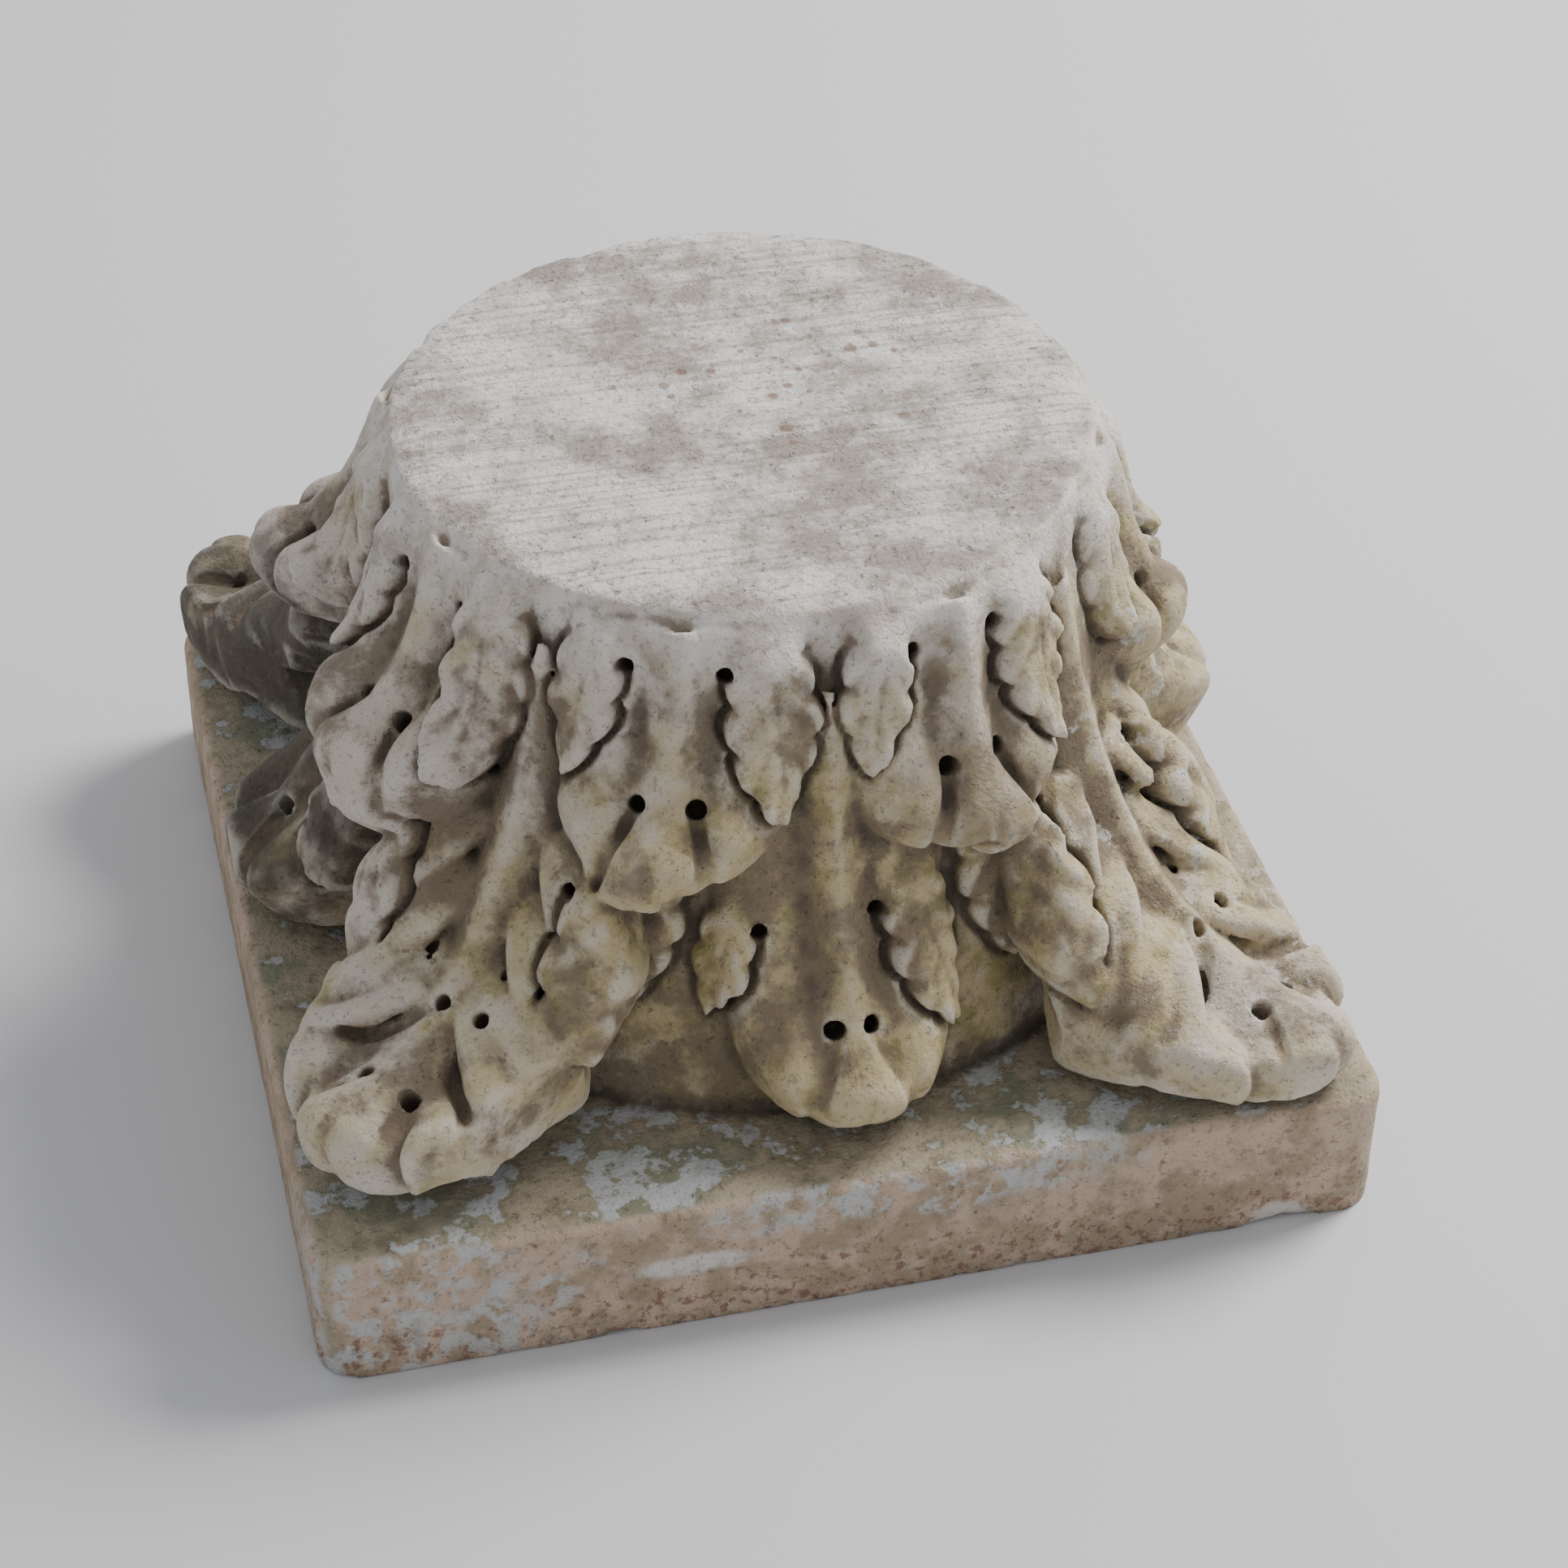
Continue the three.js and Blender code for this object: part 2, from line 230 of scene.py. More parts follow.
def closed_grid(points, columns, rows, apex):
    """Triangles of a face grid stored column by column, closed by a fan to the apex."""
    ids = np.arange(columns * rows).reshape(columns, rows)
    a = ids[:-1, :-1].ravel()
    b = ids[:-1, 1:].ravel()
    c = ids[1:, 1:].ravel()
    d = ids[1:, :-1].ravel()
    border = np.concatenate([ids[:, 0], ids[-1, 1:], ids[-2::-1, -1], ids[0, -2:0:-1]])
    fan = np.stack([border, np.roll(border, -1), np.full(len(border), columns * rows)], axis=1)
    faces = np.concatenate([np.stack([a, b, c], axis=1), np.stack([a, c, d], axis=1), fan])
    return np.concatenate([points.reshape(-1, 3), apex[None, :]]), faces


def lobe_shell(leaf, sheet, lobe):
    """Closed shell of one lobe: a carved face, a rounded rim, a hanging edge and a plain back."""
    start = np.array([lobe["from"][0] * sheet.length, lobe["from"][1]])
    end = np.array([lobe["to"][0] * sheet.length, lobe["to"][1]])
    run = np.hypot(*(end - start))
    ahead = (end - start) / run

    def at(a, u, out):
        offset = u * lobe_half_width(lobe, a)
        along = start[0] + ahead[0] * a * run - ahead[1] * offset
        side = start[1] + ahead[1] * a * run + ahead[0] * offset
        return sheet.place(along / sheet.length, side, out)

    columns = int(max(30, 2.2 * lobe["half"] / (0.7 * GRID_STEP)))
    rows = int(max(30, run / (0.8 * GRID_STEP)))
    spread = np.linspace(-1.0, 1.0, columns)
    u = (0.5 * np.sin(np.pi / 2 * spread) + 0.5 * spread)[:, None]
    swell = 1 - toe_swell(lobe["toes"], u, 4)
    fine = 1 - toe_swell(split_toes(lobe["toes"]), u, 6)
    reach = 1 - lobe["cap"] * (1 - np.sqrt(np.maximum(0.0, 1 - u * u)))
    reach = reach * (1 - lobe["notch"] * (swell + 0.3 * fine))
    edge = np.clip((np.abs(u) - 0.72) / 0.28, 0.0, 1.0)
    edge = lobe["edge"] * (1 - np.sqrt(1 - edge ** 2))
    rim_run = lobe["rim"] / run

    a = np.linspace(0.0, 1.0, rows)[None, :] * (reach - rim_run)
    face = at(a, u, lobe_relief(lobe, a, u) - edge)
    turn = np.linspace(0.0, np.pi / 2, 9)[None, 1:]
    a = reach - rim_run * (1 - np.sin(turn))
    rim = at(a, u, lobe_relief(lobe, a, u) - np.maximum(edge, lobe["rim"] * (1 - np.cos(turn))))
    under = np.linspace(0.0, 1.0, 8)[None, 1:]
    a = reach - lobe["tuck"] / run * under ** 2
    drop = lobe["rim"] + lobe["hang"] * under
    hang = at(a, u, lobe_relief(lobe, reach, u) - np.maximum(edge, drop))
    points = np.concatenate([face, rim, hang], axis=1)

    back_radius = bell_radius(leaf["top"]) - BURIED
    back_angle = math.radians(leaf["azimuth"]) + lobe["to"][1] / (2 * back_radius)
    back_height = mix(leaf["top"], leaf["tip"], lobe["back_at"])
    apex = np.array([back_radius * math.cos(back_angle), back_radius * math.sin(back_angle), back_height])
    return closed_grid(points, points.shape[0], points.shape[1], apex)


THREE_TOES = [-1.0, -0.42, 0.42, 1.0]
CORNER_TOES = [-1.0, -0.4, 0.34, 0.72, 1.0]


def split_toes(toes):
    """Each toe divided once more by a fine groove."""
    middles = [(a + b) / 2 for a, b in zip(toes[:-1], toes[1:])]
    return [toes[0]] + [g for pair in zip(middles, toes[1:]) for g in pair]


def blade(half, toes, **extra):
    lobe = {
        "from": (0.0, 0.0), "to": (1.0, 0.0), "neck": 0.9 * half, "half": half, "open": 1.5,
        "scallops": 1, "bite": 0.0, "cap": 0.12, "notch": 0.045, "toes": toes,
        "fine_groove": 1.5, "lift": 1.5, "crown": 3.0, "rib": 3.4, "groove": 7.0,
        "channel": 4.2, "channel_off": 13.0, "eye_at": 0.7, "rim": 11.0, "hang": 12.0,
        "tuck": 4.0, "edge": 6.0, "back_at": 0.62,
    }
    lobe.update(extra)
    return lobe


def flank_lobe(start, end, half, **extra):
    """A smaller lobe that folds out of a leaf's flank and ends on its margin."""
    lobe = {
        "from": start, "to": end, "neck": 0.75 * half, "half": half, "open": 0.8,
        "scallops": 2, "bite": 0.06, "cap": 0.3, "notch": 0.04, "toes": [-1.0, 0.1, 1.0],
        "fine_groove": 0.9, "lift": 6.0, "crown": 1.8, "rib": 0.0, "groove": 3.8,
        "channel": 0.0, "channel_off": 9.0, "eye_at": 0.3, "rim": 5.0, "hang": 10.0, "tuck": 1.0,
        "edge": 6.0, "back_at": 0.5,
    }
    lobe.update(extra)
    return lobe


def first_lobes(hang, **extra):
    return [blade(49.0, THREE_TOES, hang=hang, **extra)]


def second_lobes(hang, **extra):
    settings = {"eye_at": 0.8, "cap": 0.06, "notch": 0.02, "groove": 5.5}
    settings.update(extra)
    return [blade(48.0, THREE_TOES, hang=hang, **settings)]


def corner_lobes(hang, half=64.0, **extra):
    settings = {
        "eye_at": 0.8, "open": 1.9, "neck": 34.0, "groove": 9.0, "notch": 0.045, "cap": 0.1,
        "rib": 4.0, "channel": 6.5, "channel_off": 19.0, "fine_groove": 2.0,
    }
    settings.update(extra)
    lobes = [blade(half, CORNER_TOES, hang=hang, **settings)]
    for hand in (-1, 1):
        lobes += [
            flank_lobe((0.60, 6.0 * hand), (0.93, 58.0 * hand), 13.0),
            flank_lobe((0.46, 12.0 * hand), (0.79, 55.0 * hand), 12.0),
            flank_lobe((0.34, 16.0 * hand), (0.66, 54.0 * hand), 11.0),
        ]
    return lobes


def tier(top, sag, hug, width, turn, eye_gap, kind):
    return {
        "top": top, "sag": sag, "hug": hug, "width": width, "turn": turn,
        "eye_gap": eye_gap, "kind": kind,
    }


FIRST_TIER = tier(HEIGHT - 3.0, 0.18, 0.8, 46.0, 2.3, 21.0, "first")
SECOND_TIER = tier(236.0, 0.16, 0.9, 47.0, 2.5, 13.0, "second")
CORNER = tier(240.0, 0.02, 0.8, 72.0, 2.8, 24.0, "corner")


BROAD = {"width": 53.0, "turn": 3.5}


def leaf(base, azimuth, lean, reach, tip, lobes, **extra):
    return dict(base, azimuth=azimuth, lean=lean, reach=reach, tip=tip, lobes=lobes, **extra)


LEAVES = [
    leaf(FIRST_TIER, -112.0, -2.0, 175.0, 173.0, first_lobes(10.0)),
    leaf(FIRST_TIER, -69.0, 0.0, 162.0, 168.0, first_lobes(9.0)),
    leaf(dict(FIRST_TIER, **BROAD), -155.5, 0.0, 186.0, 182.0, first_lobes(20.0)),
    leaf(FIRST_TIER, 160.0, 0.0, 189.0, 185.0, first_lobes(14.0)),
    leaf(FIRST_TIER, -19.0, 0.0, 169.0, 184.0, first_lobes(18.0)),
    leaf(FIRST_TIER, 114.0, 0.0, 176.0, 182.0, first_lobes(12.0)),
    leaf(FIRST_TIER, 68.0, 0.0, 174.0, 181.0, first_lobes(12.0)),
    leaf(FIRST_TIER, 24.0, 0.0, 172.0, 182.0, first_lobes(14.0)),
    leaf(SECOND_TIER, -90.0, 1.0, 193.0, 79.0, second_lobes(15.0)),
    leaf(dict(SECOND_TIER, **BROAD), 178.0, 0.0, 204.0, 84.0, second_lobes(24.0)),
    leaf(dict(SECOND_TIER, **BROAD), 8.0, 3.0, 206.0, 92.0, second_lobes(24.0)),
    leaf(SECOND_TIER, 90.0, 0.0, 196.0, 90.0, second_lobes(22.0)),
    leaf(CORNER, -134.0, -3.0, 260.0, 96.0, corner_lobes(20.0)),
    leaf(dict(CORNER, width=84.0, turn=2.0), -46.0, -1.0, 268.0, 78.0, corner_lobes(12.0, half=74.0)),
    leaf(CORNER, 134.0, 0.0, 272.0, 92.0, corner_lobes(24.0)),
    leaf(CORNER, 45.0, 0.0, 262.0, 88.0, corner_lobes(24.0)),
]


# ---------------------------------------------------------------- the block of stone

class Block:
    """Distances to the stone's surface on a regular grid, less than zero inside the stone."""

    def __init__(self):
        self.size = np.ceil((GRID_HIGH - GRID_LOW) / GRID_STEP).astype(int)
        self.field = np.full(tuple(self.size), BAND * GRID_STEP, np.float32)

    def axes(self, low=(0, 0, 0), size=None):
        size = self.size if size is None else size
        return [GRID_LOW[i] + GRID_STEP * np.arange(low[i], low[i] + size[i]) for i in range(3)]

    def window(self, low, high):
        """Grid indices of a box given in millimetres."""
        first = np.maximum(0, np.floor((low - GRID_LOW) / GRID_STEP).astype(int))
        last = np.minimum(self.size, np.ceil((high - GRID_LOW) / GRID_STEP).astype(int))
        return first, last - first

    def view(self, first, size):
        return self.field[
            first[0]:first[0] + size[0], first[1]:first[1] + size[1], first[2]:first[2] + size[2]
        ]

    def join_shell(self, points, faces):
        pad = (BAND + 1) * GRID_STEP
        first, size = self.window(points.min(axis=0) - pad, points.max(axis=0) + pad)
        grid = openvdb.FloatGrid.createLevelSetFromPolygons(
            (points - GRID_LOW).astype(np.float32), triangles=faces.astype(np.uint32),
            transform=openvdb.createLinearTransform(GRID_STEP), halfWidth=BAND,
        )
        local = np.full(tuple(size), BAND * GRID_STEP, np.float32)
        grid.copyToArray(local, ijk=tuple(int(i) for i in first))
        part = self.view(first, size)
        np.minimum(part, local, out=part)

    def join_bell(self):
        x, y, z = self.axes()
        radius = np.hypot(x[:, None], y[None, :])[:, :, None]
        side = (radius - bell_radius(z)[None, None, :]) * 0.98
        side = np.maximum(side, (SLAB_THICK - BURIED - z)[None, None, :])
        np.minimum(self.field, np.maximum(side, (z - HEIGHT)[None, None, :]), out=self.field)

    def join_slab(self):
        x, y, z = self.axes()
        inner = SLAB_SIDE / 2 - SLAB_CORNER
        dx = np.maximum(np.abs(x) - inner, 0.0)[:, None]
        dy = np.maximum(np.abs(y) - inner, 0.0)[None, :]
        plan = (np.hypot(dx, dy) - SLAB_CORNER)[:, :, None]
        top = (z - SLAB_THICK)[None, None, :]
        a = np.maximum(plan + SLAB_EDGE, 0.0)
        b = np.maximum(top + SLAB_EDGE, 0.0)
        upper = np.hypot(a, b) - SLAB_EDGE + np.minimum(np.maximum(plan, top) + SLAB_EDGE, 0.0)
        np.minimum(self.field, np.maximum(upper, -z[None, None, :]), out=self.field)

    def near(self, low, high, reach=BAND * GRID_STEP * 0.98):
        """Indices and points of the grid within `reach` of the surface, inside a box."""
        first, size = self.window(np.asarray(low, float), np.asarray(high, float))
        part = self.view(first, size)
        i, j, k = np.nonzero(np.abs(part) < reach)
        i, j, k = i + first[0], j + first[1], k + first[2]
        points = np.stack([
            GRID_LOW[0] + GRID_STEP * i, GRID_LOW[1] + GRID_STEP * j, GRID_LOW[2] + GRID_STEP * k,
        ], axis=-1)
        return (i, j, k), points

    def groove(self, line, depth, width):
        """Cuts a rounded groove along a line of points."""
        pad = 3 * width + GRID_STEP
        where, points = self.near(line.min(axis=0) - pad, line.max(axis=0) + pad)
        if len(points) == 0:
            return
        best = distance_to_line(points, line)
        self.field[where] += (depth * bump(best, width)).astype(np.float32)

    def drill(self, mouth, floor, radius):
        """Cuts a round hole from its mouth to its floor."""
        line = np.stack([mouth, floor])
        pad = radius + 2 * GRID_STEP
        first, size = self.window(line.min(axis=0) - pad, line.max(axis=0) + pad)
        x, y, z = self.axes(first, size)
        points = np.stack(np.meshgrid(x, y, z, indexing="ij"), axis=-1)
        part = self.view(first, size)
        best = distance_to_line(points.reshape(-1, 3), line).reshape(part.shape)
        np.maximum(part, (radius - best).astype(np.float32), out=part)

    def soften(self, times):
        """Wears every edge a little by averaging neighbouring distances."""
        for _ in range(times):
            for axis in range(3):
                f = np.moveaxis(self.field, axis, 0)
                f[1:-1] = 0.25 * f[:-2] + 0.5 * f[1:-1] + 0.25 * f[2:]

    def sample(self, array, points):
        at = (points - GRID_LOW) / GRID_STEP
        cell = np.clip(np.floor(at).astype(int), 0, self.size - 2)
        k = at - cell
        total = 0.0
        for corner in range(8):
            step = np.array([corner & 1, (corner >> 1) & 1, corner >> 2])
            i = cell + step
            weight = np.prod(np.where(step == 1, k, 1.0 - k), axis=-1)
            total = total + weight * array[i[:, 0], i[:, 1], i[:, 2]]
        return total


def distance_to_line(points, line):
    best = np.full(len(points), 1e9)
    for a, b in zip(line[:-1], line[1:]):
        ab = b - a
        t = np.clip((points - a) @ ab / max(ab @ ab, 1e-9), 0.0, 1.0)
        d = points - a - t[:, None] * ab
        best = np.minimum(best, np.einsum("ij,ij->i", d, d))
    return np.sqrt(best)


# ---------------------------------------------------------------- carving on the bell

BELL_MEAN_RADIUS = 152.0


def plate(root, tip, left, right, scallops, lift=5.4, limit=178.0, bow=0.0, eye=1):
    """A side plate of a leaf, lying on the bell. Root and tip are (azimuth, height).

    `left` and `right` are its greatest half widths in mm, and `eye` is 1 where the drilled eye
    and the open gap are on its left margin, or -1 where they are on its right one.
    """
    return {
        "root": root, "tip": tip, "left": left, "right": right, "scallops": scallops,
        "lift": lift, "limit": limit, "bow": bow, "eye": eye,
    }


def plate_axes(shape):
    """Length of a plate and the direction of its spine, on the unrolled bell."""
    across = math.radians(shape["tip"][0] - shape["root"][0]) * BELL_MEAN_RADIUS
    down = shape["tip"][1] - shape["root"][1]
    run = math.hypot(across, down)
    return run, across / run, down / run


def plate_outline(shape, a, left):
    """Half width of a plate, `a` from its root to its tip, on its left or right side."""
    inside = np.clip(a, 0.0, 1.0)
    half = np.where(left, shape["left"], shape["right"])
    taper = np.clip(1.25 * (1 - inside ** 2.2), 0.0, 1.0) ** 0.7
    bite = np.abs(np.sin(np.pi * shape["scallops"] * (inside - 0.06))) ** 0.5
    return half * taper * (0.8 + 0.2 * np.sin(np.pi * inside)) * (0.78 + 0.22 * bite)


def plate_height(shape, azimuth, z):
    """Height of a plate over the bell, with a dark gap cut around its scalloped margin."""
    turn = (azimuth - shape["root"][0] + 180.0) % 360.0 - 180.0
    x = np.radians(turn) * BELL_MEAN_RADIUS
    y = z - shape["root"][1]
    run, ahead_x, ahead_y = plate_axes(shape)
    a = (x * ahead_x + y * ahead_y) / run
    off = x * ahead_y - y * ahead_x - shape["bow"] * 4 * a * (1 - a)
    outline = plate_outline(shape, a, off > 0)
    past = np.maximum(a - 1.0, 0.0) * run
    distance = np.abs(off) - outline
    distance = np.where(past > 0, np.hypot(np.maximum(distance, 0.0), past), distance)
    raised = smooth(0.9, -0.9, distance)
    share = np.clip(np.abs(off) / np.maximum(outline, 1.0), 0.0, 1.0)
    wave = shape["scallops"] * (np.clip(a, 0, 1) - 0.06 + 0.3 * (1 - share))
    flute = (0.5 - 0.5 * np.cos(2 * np.pi * wave)) ** 0.7
    vein = bump(off, 1.5) * smooth(0.05, 0.3, a) * (1 - smooth(0.7, 0.95, a))
    round_edge = smooth(0.0, -6.0, distance)
    height = raised * (shape["lift"] * (0.72 + 0.28 * round_edge) - 2.6 * (1 - flute) * share - 1.0 * vein)
    open_side = np.where((off > 0) == (shape["eye"] > 0), 1.0, 0.45)
    gap = 4.4 * open_side * bump(distance - 1.5, 1.4) * smooth(0.08, 0.2, a)
    return (height - gap) * smooth(-0.15, 0.1, a)


def plate_eye(shape):
    """Azimuth and height of the drilled eye at the head of a plate's open margin."""
    run, ahead_x, ahead_y = plate_axes(shape)
    a = 0.14
    off = shape["eye"] * (plate_outline(shape, a, shape["eye"] > 0) + 1.0)
    x = a * run * ahead_x + off * ahead_y
    y = a * run * ahead_y - off * ahead_x
    return shape["root"][0] + math.degrees(x / BELL_MEAN_RADIUS), shape["root"][1] + y


def plates_of(shape):
    """The two plates beside a leaf's blade."""
    az = shape["azimuth"]
    if shape["kind"] == "first":
        return [
            plate((az + 13.5, 247.0), (az + 15.0, 184.0), 21.0, 17.0, 4, eye=1),
            plate((az - 13.0, 247.0), (az - 16.0, 195.0), 15.0, 15.0, 3, eye=-1),
        ]
    if shape["kind"] == "second":
        return [
            plate((az + 11.0, 150.0), (az + 15.5, 91.0), 17.0, 14.0, 4, eye=1),
            plate((az - 14.0, 145.0), (az - 18.0, 98.0), 11.0, 11.0, 3, eye=-1),
        ]
    return [
        plate((az + 17.0, 165.0), (az + 14.6, 98.0), 21.0, 19.0, 4, lift=7.0, limit=190.0, eye=1),
        plate((az - 19.0, 170.0), (az - 16.0, 96.0), 19.0, 17.0, 4, lift=7.0, limit=190.0, eye=-1),
    ]


def carve_plates(block):
    where, points = block.near((-200, -200, SLAB_THICK + 4), (200, 200, HEIGHT - 2))
    radius = np.hypot(points[:, 0], points[:, 1])
    azimuth = np.degrees(np.arctan2(points[:, 1], points[:, 0]))
    change = np.zeros(len(points))
    for shape in LEAVES:
        for each in plates_of(shape):
            turn = np.abs((azimuth - each["root"][0] + 180.0) % 360.0 - 180.0)
            low = each["tip"][1] - 12.0
            pick = (turn < 22.0) & (points[:, 2] > low) & (points[:, 2] < each["root"][1] + 12.0)
            pick &= radius < each["limit"] + 8.0
            fade = 1 - smooth(each["limit"] - 6.0, each["limit"] + 6.0, radius[pick])
            change[pick] += plate_height(each, azimuth[pick], points[pick, 2]) * fade
    block.field[where] -= change.astype(np.float32)


def surface_radius(block, azimuth, z):
    """Greatest radius at which the stone is met on the way in at an azimuth and height."""
    angle = math.radians(azimuth)
    reach = np.arange(300.0, 100.0, -0.5)
    line = np.stack([reach * math.cos(angle), reach * math.sin(angle), np.full_like(reach, z)], axis=1)
    inside = np.nonzero(block.sample(block.field, line) < 0.0)[0]
    return reach[inside[0]]


def drill_into_bell(block, azimuth, z, radius, depth):
    face = surface_radius(block, azimuth, z)
    angle = math.radians(azimuth)
    out = np.array([math.cos(angle), math.sin(angle), 0.35])
    middle = np.array([face * math.cos(angle), face * math.sin(angle), z])
    block.drill(middle + 12.0 * out, middle - depth * out, radius)


def sheet_line(sheet, lobe, stops):
    """Points on a blade's carved face along a few stops given as (along, side)."""
    stops = np.array(stops)
    t = np.linspace(0.0, 1.0, 24)
    along = np.interp(t, np.linspace(0.0, 1.0, len(stops)), stops[:, 0])
    side = np.interp(t, np.linspace(0.0, 1.0, len(stops)), stops[:, 1])
    u = side / lobe_half_width(lobe, along)
    rim_run = lobe["rim"] / sheet.length
    over = np.clip((along - (1 - rim_run)) / rim_run, 0.0, 1.0)
    down = lobe["rim"] * (1 - np.sqrt(1 - over ** 2))
    return sheet.place(along, side, lobe_relief(lobe, along, u) - down)


def cuts_of(shape):
    """Grooves that run from the drilled eyes to the rim, as stops of (along, side)."""
    lobe = shape["lobes"][0]
    eye = lobe["eye_at"]
    half = lobe["half"]
    if shape["kind"] == "corner":
        return [
            [(0.69, 18.0), (0.79, 18.0), (0.87, 32.0), (1.0, 0.72 * half)],
            [(0.86, 12.0), (0.94, 16.0), (1.0, 0.34 * half)],
            [(0.85, -8.0), (0.93, -19.0), (1.0, -0.4 * half)],
            [(0.68, 1.0), (0.74, -10.0), (0.82, -28.0)],
        ]
    gap = shape["eye_gap"] / 2
    rim = 0.42 * half
    return [[(eye, hand * gap), (mix(eye, 1.0, 0.5), hand * mix(gap, rim, 0.45)), (1.0, hand * rim)]
            for hand in (-1, 1)]


def carve_cuts(block):
    """The drilled eyes, and the grooves that divide the toes below them."""
    for shape in LEAVES:
        sheet = Sheet(shape)
        lobe = shape["lobes"][0]
        for stops in cuts_of(shape):
            block.groove(sheet_line(sheet, lobe, stops), GROOVE_DEPTH, GROOVE_WIDTH)
            along, side = stops[0]
            mouth = sheet.place(along, side, EYE_DEPTH)
            floor = sheet.place(along, side, -0.8 * EYE_DEPTH)
            block.drill(mouth, floor, EYE_RADIUS)
        for each in plates_of(shape):
            azimuth, z = plate_eye(each)
            drill_into_bell(block, azimuth, z, 0.9 * EYE_RADIUS, PLATE_EYE_DEPTH)


def wear(block):
    """Rounds the edges, then eats unevenly into the surface."""
    where, points = block.near(GRID_LOW, GRID_HIGH)
    broad = ValueNoise(31.0, 3)(points)
    middle = ValueNoise(11.0, 4)(points)
    fine = ValueNoise(4.5, 5)(points)
    radius = np.hypot(points[:, 0], points[:, 1])
    height = points[:, 2]
    carved = smooth(SLAB_THICK - 2, SLAB_THICK + 6, height) * smooth(HEIGHT + 1, HEIGHT - 4, height)
    change = 0.6 * broad * carved + (0.15 + 0.35 * carved) * middle + 0.22 * fine
    rim = bump(height - HEIGHT, 6.0) * bump(radius - BED_RADIUS, 8.0)
    change += rim * (1.2 + 2.2 * np.maximum(0.0, ValueNoise(9.0, 6)(points)))
    from_middle = np.maximum(np.abs(points[:, 0]), np.abs(points[:, 1]))
    lower = bump(height, 4.0) * smooth(190.0, 199.0, from_middle)
    change += lower * (0.3 + 1.1 * np.maximum(0.0, ValueNoise(13.0, 7)(points)))
    chip = bump(points[:, 0] - CHIP_X, 11.0) * bump(height, 7.0) * smooth(-188.0, -198.0, points[:, 1])
    change += chip * (2.5 + 1.5 * middle)
    block.field[where] += change.astype(np.float32)


def build_block():
    block = Block()
    block.join_bell()
    for shape in LEAVES:
        sheet = Sheet(shape)
        for lobe in shape["lobes"]:
            block.join_shell(*lobe_shell(shape, sheet, lobe))
    block.soften(1)
    carve_plates(block)
    carve_cuts(block)
    block.join_slab()
    wear(block)
    return block


def block_mesh(block, name):
    """One closed mesh of the block in metres, thinned to the allowed number of triangles."""
    for axis, places in enumerate(block.axes()):
        low, high = (1000.0 * corner[axis] for corner in SOLID_BOX)
        past = np.maximum(low - places, places - high).astype(np.float32)
        spread = [-1 if each == axis else 1 for each in range(3)]
        np.maximum(block.field, past.reshape(spread), out=block.field)
    grid = openvdb.FloatGrid(BAND * GRID_STEP)
    grid.copyFromArray(np.ascontiguousarray(block.field))
    grid.transform = openvdb.createLinearTransform(GRID_STEP)
    points, _, quads = grid.convertToPolygons(0.0, 0.0)
    quads = greatest_shell(len(points), quads[:, ::-1])
    used, order = np.unique(quads, return_inverse=True)
    mesh = bpy.data.meshes.new(name)
    mesh.from_pydata(((points[used] + GRID_LOW) / 1000.0).tolist(), [], order.reshape(-1, 4).tolist())
    mesh.update()
    return mesh


def greatest_shell(count, quads):
    """Leaves out the little pockets that joining the lobes can seal inside the stone."""
    label = np.arange(count)
    while True:
        low = label[quads].min(axis=1)
        new = label.copy()
        for corner in range(4):
            np.minimum.at(new, quads[:, corner], low)
        new = new[new]
        if np.array_equal(new, label):
            break
        label = new
    roots, sizes = np.unique(label[quads[:, 0]], return_counts=True)
    return quads[label[quads[:, 0]] == roots[np.argmax(sizes)]]


def thin(mesh, most):
    """Collapses the flattest faces until at most `most` triangles are left."""
    count = sum(len(face.vertices) - 2 for face in mesh.polygons)
    holder = bpy.data.objects.new("thinning", mesh)
    bpy.context.scene.collection.objects.link(holder)
    fewer = holder.modifiers.new("thin", "DECIMATE")
    fewer.ratio = min(1.0, most / count)
    fewer.use_collapse_triangulate = True
    view = bpy.context.evaluated_depsgraph_get()
    result = bpy.data.meshes.new_from_object(holder.evaluated_get(view))
    bpy.data.objects.remove(holder)
    bpy.data.meshes.remove(mesh)
    return result


def keep_in_box(mesh):
    """Holds every point inside the solid's box."""
    points = np.empty(3 * len(mesh.vertices), np.float32)
    mesh.vertices.foreach_get("co", points)
    low, high = (np.array(corner, np.float32) for corner in SOLID_BOX)
    mesh.vertices.foreach_set("co", np.clip(points.reshape(-1, 3), low, high).ravel())
    mesh.update()


def hollows(block, mesh):
    """Stores how deep in a hollow each point lies, for darkening the hollows partly with soiling and partly
    with painted shade: a small and a large scale.
    """
    points = np.empty(3 * len(mesh.vertices), np.float32)
    mesh.vertices.foreach_get("co", points)
    points = points.reshape(-1, 3) * 1000.0
    field = np.clip(block.field, -4.0, 4.0)
    done = 0
    for label, times in (("small_hollow", 4), ("large_hollow", 36)):
        while done < times:
            for axis in range(3):
                f = np.moveaxis(field, axis, 0)
                f[1:-1] = 0.25 * f[:-2] + 0.5 * f[1:-1] + 0.25 * f[2:]
            done += 1
        values = -block.sample(field, points)
        layer = mesh.attributes.new(label, "FLOAT", "POINT")
        layer.data.foreach_set("value", values.astype(np.float32))


# ---------------------------------------------------------------- operators

def colour_of(name, description, default):
    return bpy.props.FloatVectorProperty(
        name=name, description=description, subtype="COLOR", size=3, min=0.0, max=1.0, default=default,
    )


